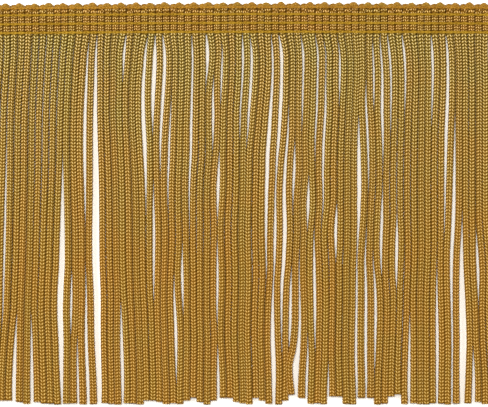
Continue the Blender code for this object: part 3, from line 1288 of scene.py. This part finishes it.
@dataclass(frozen=True)
class HeadingCords:
    """The bound part of the cords: beads between the chain rows, and a loop over each pair."""

    layout: TrimLayout
    knit: KnittedCord
    finish: KnitFinish
    seed: int = 23
    bead_fullness: float = 1.18
    bound_fullness: float = 1.14
    edge_draw: float = 0.48
    edge_squeeze: float = 0.84
    edge_lean: float = 0.8
    loop_draw: float = 0.30
    loop_fullness: float = 0.90
    loop_height: float = 0.82 * MM
    crown_drop: float = 0.18 * MM
    loop_lean: float = 0.75 * MM
    lean_range: float = 0.1 * MM
    row_range: float = 0.02
    bead_range: float = 0.03
    turn_range: float = 0.15
    # Painted light on the heading: the loops' painted shade and highlight are evened out towards crown_mark,
    # and the valleys between the beads get painted shade.
    crown_mark: float = 0.5
    crown_relief: float = 0.3
    valley_share: float = 0.07
    valley_shade: float = 0.65
    press: float = 0.92
    press_reaches: tuple[float, ...] = (0.9 * MM, 0.65 * MM, 0.4 * MM)

    def build(self, stock: bpy.types.Object) -> bpy.types.Object:
        """Lays one cord up and down for each pair and joins them into the heading.

        Args:
            stock: The long straight cord that the pairs are cut from.

        Returns:
            The heading's piece.
        """
        dice = random.Random(self.seed)
        pairs = []
        for pair in range(self.layout.cord_count // 2):
            stations = self._stations(pair, dice)
            pairs.append(self.knit.lay(stock, f"pair_{pair}", stations, dice))
        piece = Workbench.join(pairs, "heading_cords")
        self.knit.press_flat(piece)
        self._press_down(piece)
        self._shade(piece)
        piece.data.materials.clear()
        piece.data.materials.append(self.finish.material(self.layout))
        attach(piece, BODY)
        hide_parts("heading_band")
        LOG.info("%s: %d faces", piece.name, len(piece.data.polygons))
        return piece

    def _stations(self, pair: int, dice: random.Random) -> list[Station]:
        """Points of one pair's line, up the left cord, round the loop and down the right one.

        Args:
            pair: The pair's number from the left.
            dice: The seeded source of unevenness.

        Returns:
            The stations from the lower row back to the lower row.
        """
        layout = self.layout
        centre_x = layout.heading_x(2 * pair + 1)
        half = layout.pitch / 2
        rise = layout.loop_unevenness * math.sin(2.4 * pair)
        lean = self.loop_lean + dice.uniform(-self.lean_range, self.lean_range)
        rows = [row.value for row in reversed(HeadingRow)]
        climb = []
        for number, row in enumerate(rows):
            at_edge = row == HeadingRow.EDGE.value
            drawn_in = self.edge_draw if at_edge else 1.0
            fullness = self.bound_fullness * dice.uniform(1.0 - self.row_range, 1.0 + self.row_range)
            if at_edge:
                fullness *= self.edge_squeeze
            climb.append((drawn_in, row, fullness, self.edge_lean if at_edge else 0.0))
            if number + 1 < len(rows):
                middle = (row + rows[number + 1]) / 2
                fullness = self.bead_fullness * dice.uniform(1.0 - self.bead_range, 1.0 + self.bead_range)
                climb.append((1.0, middle, fullness, 0.0))
        below_crown = self.loop_height - rise
        climb.append((self.loop_draw, below_crown + self.crown_drop, self.loop_fullness, 1.0))
        crown = [(0.0, below_crown, self.loop_fullness, 1.0)]
        descent = [(-drawn_in, row, fullness, turn) for drawn_in, row, fullness, turn in reversed(climb)]
        turn = dice.uniform(-self.turn_range, self.turn_range)
        height = self.knit.rest_height(turn)
        stations = []
        for drawn_in, below, fullness, leaning in [*climb, *crown, *descent]:
            x = centre_x - drawn_in * half + lean * leaning
            y = layout.heading_y(x, below)
            stations.append(Station((x, y, fullness * height), fullness, turn))
        return stations

    def _press_down(self, piece: bpy.types.Object) -> None:
        """Presses the cords further down under each chain row.

        Args:
            piece: The heading's cords.
        """
        Workbench.only(piece)
        bpy.ops.object.mode_set(mode="EDIT")
        for reach in self.press_reaches:
            Workbench.pick_vertices(piece, lambda place: self._row_distance(place) < reach)
            bpy.ops.transform.resize(value=(1.0, 1.0, self.press), center_override=(0.0, 0.0, 0.0))
        bpy.ops.object.mode_set(mode="OBJECT")

    def _shade(self, piece: bpy.types.Object) -> None:
        """Evens out the painted shade and highlight marks on the loops, and lowers the marks in the valleys
        between beads to paint shade there.

        Args:
            piece: The heading's cords.
        """
        marks = piece.data.attributes["relief_light"].data
        for vertex, mark in zip(piece.data.vertices, marks):
            above_edge = vertex.co.y - self.layout.heading_y(vertex.co.x, HeadingRow.EDGE.value)
            place = (vertex.co.x - self.layout.left) / self.layout.pitch
            from_valley = min(place % 1.0, 1.0 - place % 1.0)
            if above_edge > 0:
                mark.value = self.crown_mark + (mark.value - self.crown_mark) * self.crown_relief
            elif from_valley < self.valley_share:
                mark.value *= self.valley_shade

    def _row_distance(self, place: Vector) -> float:
        """Distance of a point from the nearest chain row, measured up the heading."""
        return min(abs(place.y - self.layout.heading_y(place.x, row.value)) for row in HeadingRow)


@dataclass(frozen=True)
class ChainRow:
    """A row of chain stitches in satin thread, one link over each cord."""

    layout: TrimLayout
    row: HeadingRow
    node: str
    slot: str
    finish: SatinFinish
    link_width: float = 1.26 * MM
    link_height: float = 0.84 * MM
    overlap: float = 1.5
    centre_height: float = 1.98 * MM
    back_height: float = 0.30 * MM
    back_width: float = 3.3 * MM
    dip: float = 0.10 * MM
    segments: int = 16
    thread_sides: int = 8
    thread_share: float = 0.248
    dip_start: float = 0.42
    tuck_starts: tuple[float, float] = (0.12, 0.42)
    tuck: tuple[float, float, float] = (1.0, 0.82, 0.95)
    float_thickness: float = 0.4 * MM
    float_overlap: float = 1.3
    line_steps: int = 24

    def build(self) -> bpy.types.Object:
        """Shapes one link, repeats it along the row and lays it on the heading's bow.

        Returns:
            The row's piece, with the plain thread that holds it at the back.
        """
        chain = self._shape_link()
        Workbench.repeat(chain, self.layout.cord_count, self.layout.pitch)
        Workbench.lay_along(chain, Workbench.guide(self._line(self.centre_height)))
        back = self._shape_back()
        Workbench.repeat(back, self.layout.cord_count, self.layout.pitch)
        Workbench.lay_along(back, Workbench.guide(self._line(self.back_height)))
        piece = Workbench.join([chain, back], f"chain_{self.row.name.lower()}")
        piece.data.shade_smooth()
        piece.data.materials.clear()
        piece.data.materials.append(self.finish.material())
        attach(piece, BODY)
        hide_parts(self.node)
        LOG.info("%s: %d faces", piece.name, len(piece.data.polygons))
        return piece

    def _line(self, height: float) -> list[Station]:
        """Points of the row's line.

        Args:
            height: How high the line lies.

        Returns:
            The stations, from left to right.
        """
        stations = []
        for place in range(self.line_steps + 1):
            x = self.layout.heading_x(self.layout.cord_count * place / self.line_steps)
            stations.append(Station((x, self.layout.heading_y(x, self.row.value), height)))
        return stations

    def _shape_link(self) -> bpy.types.Object:
        """Shapes one link: two plump legs of thread side by side, closed round at both ends.

        Returns:
            The link, tucked in where the one before it covers it.
        """
        thread = self.link_width * self.thread_share
        Workbench.clear_selection()
        bpy.ops.mesh.primitive_torus_add(
            major_segments=self.segments,
            minor_segments=self.thread_sides,
            major_radius=self.link_width / 2 - thread,
            minor_radius=thread,
        )
        link = bpy.context.object
        length_share = self.overlap * self.layout.pitch / self.link_width
        link.scale = (length_share, 1.0, self.link_height / (2 * thread))
        link.location = (self.layout.pitch / 2, 0.0, 0.0)
        Workbench.settle(link, "link")
        bpy.ops.object.mode_set(mode="EDIT")
        middle = self.layout.pitch / 2
        reach = self.layout.pitch * self.dip_start
        Workbench.pick_vertices(link, lambda place: abs(place.x - middle) > reach)
        bpy.ops.transform.translate(value=(0.0, 0.0, -self.dip))
        for share in self.tuck_starts:
            start = middle - share * self.layout.pitch
            Workbench.pick_vertices(link, lambda place: place.x < start)
            bpy.ops.transform.resize(value=self.tuck, center_override=(start, 0.0, 0.0))
        bpy.ops.object.mode_set(mode="OBJECT")
        return link

    def _shape_back(self) -> bpy.types.Object:
        """Shapes the flat thread at the back.

        Returns:
            One short float, repeated later for each cord.
        """
        Workbench.clear_selection()
        bpy.ops.mesh.primitive_uv_sphere_add(segments=10, ring_count=6, radius=0.5)
        back = bpy.context.object
        back.rotation_euler = (0.0, math.pi / 2, 0.0)
        back.scale = (self.float_thickness, self.back_width, self.layout.pitch * self.float_overlap)
        back.location = (self.layout.pitch / 2, 0.0, 0.0)
        return Workbench.settle(back, "back_float")


@dataclass(frozen=True)
class Lamp:
    """A square soft light: its place, the length of its sides and its power in watts."""

    name: str
    place: tuple[float, float, float]
    size: float
    power: float


@dataclass(frozen=True)
class Studio:
    """A pale surface, soft light from above and a camera square over the trim."""

    layout: TrimLayout
    surface: SurfaceFinish
    image_width: int = 488
    millimetres_per_pixel: float = 0.3795
    camera_height: float = 0.9
    aim_x: float = 2.08 * MM
    aim_y: float = -0.1 * MM
    surface_size: float = 8.0
    sensor_width: float = 36.0
    room_light: float = 0.475
    lamps: tuple[Lamp, ...] = (
        Lamp("overhead_light", (-0.12, 0.15, 1.10), 0.35, 8.8),
        Lamp("left_light", (-0.85, 0.25, 0.55), 0.45, 9.2),
        Lamp("right_light", (0.85, 0.15, 0.55), 0.45, 5.9),
    )

    def build(self) -> None:
        """Adds the surface, the lights, the world and the camera."""
        self._lay_surface()
        for lamp in self.lamps:
            self._hang_light(lamp)
        self._light_world()
        self._set_camera()

    def _lay_surface(self) -> None:
        """Lays the pale surface just under the trim."""
        Workbench.clear_selection()
        bpy.ops.mesh.primitive_plane_add(size=self.surface_size, location=(0.0, 0.0, 0.0))
        floor = Workbench.settle(bpy.context.object, "pale_floor")
        floor.data.materials.append(self.surface.material())

    def _hang_light(self, lamp: Lamp) -> None:
        """Hangs a soft light that faces the trim.

        Args:
            lamp: What to hang, and where.
        """
        Workbench.clear_selection()
        bpy.ops.object.light_add(type="AREA", location=lamp.place)
        light = bpy.context.object
        light.name = lamp.name
        light.data.size = lamp.size
        light.data.energy = lamp.power
        light.rotation_euler = Vector(lamp.place).to_track_quat("Z", "Y").to_euler()

    def _light_world(self) -> None:
        """Fills the room with even white light."""
        world = bpy.context.scene.world or bpy.data.worlds.new("room")
        bpy.context.scene.world = world
        world.use_nodes = True
        background = world.node_tree.nodes["Background"]
        background.inputs["Color"].default_value = (1.0, 1.0, 1.0, 1.0)
        background.inputs["Strength"].default_value = self.room_light

    def _set_camera(self) -> None:
        """Sets the camera square above the trim, with the photograph's crop."""
        Workbench.clear_selection()
        bpy.ops.object.camera_add(location=(self.aim_x, self.aim_y, self.camera_height))
        camera = bpy.context.object
        camera.name = "overhead_camera"
        seen_width = self.image_width * self.millimetres_per_pixel * MM
        camera.data.sensor_width = self.sensor_width
        camera.data.lens = camera.data.sensor_width * self.camera_height / seen_width
        bpy.context.scene.camera = camera
        bpy.context.scene.view_settings.view_transform = "Standard"
        bpy.context.scene.cycles.use_denoising = False


def main() -> None:
    """Builds the trim's pieces around the loaded frame, then its studio."""
    logging.basicConfig(level=logging.INFO, format="%(name)s: %(message)s")
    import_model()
    layout = TrimLayout.from_frame()
    knit = KnittedCord()
    stock = knit.knit_length("strand_stock")
    strands = FringeStrands(layout, knit, KnitFinish("strand_knit")).build(stock)
    bpy.data.objects.remove(stock, do_unlink=True)
    round_knit = KnittedCord(
        stitch=0.98 * MM, wales=5, corner_rise=0.0, shoulder_rise=0.0, longest=30.0 * MM
    )
    stock = round_knit.knit_length("heading_stock")
    # The heading's cord has its own darker orange, with reddish painted shade in the grooves and a brighter
    # painted highlight on the crests.
    bound_finish = KnitFinish(
        "heading_knit",
        top_colour=(0.225, 0.118, 0.016, 1.0),
        top_painted_shade=(0.045, 0.012, 0.0004, 1.0),
        top_painted_highlight=(0.97, 0.71, 0.33, 1.0),
    )
    heading = HeadingCords(layout, round_knit, bound_finish).build(stock)
    bpy.data.objects.remove(stock, do_unlink=True)
    satin = SatinFinish("satin_ochre", (0.29, 0.168, 0.014, 1.0), (0.140, 0.067, 0.003, 1.0))
    amber = SatinFinish("satin_amber", (0.30, 0.145, 0.014, 1.0), (0.135, 0.048, 0.003, 1.0))
    rows = (HeadingRow.UPPER, HeadingRow.MIDDLE, HeadingRow.LOWER)
    chains = [
        ChainRow(layout, row, f"stitch_row_{row.name.lower()}", "stitch_satin", satin).build() for row in rows
    ]
    edge = ChainRow(
        layout,
        HeadingRow.EDGE,
        "edge_chain",
        "edge_amber",
        amber,
        link_width=1.10 * MM,
        link_height=0.7 * MM,
        centre_height=1.95 * MM,
    )
    chains.append(edge.build())
    Studio(layout, SurfaceFinish()).build()


if __name__ == "__main__":
    main()
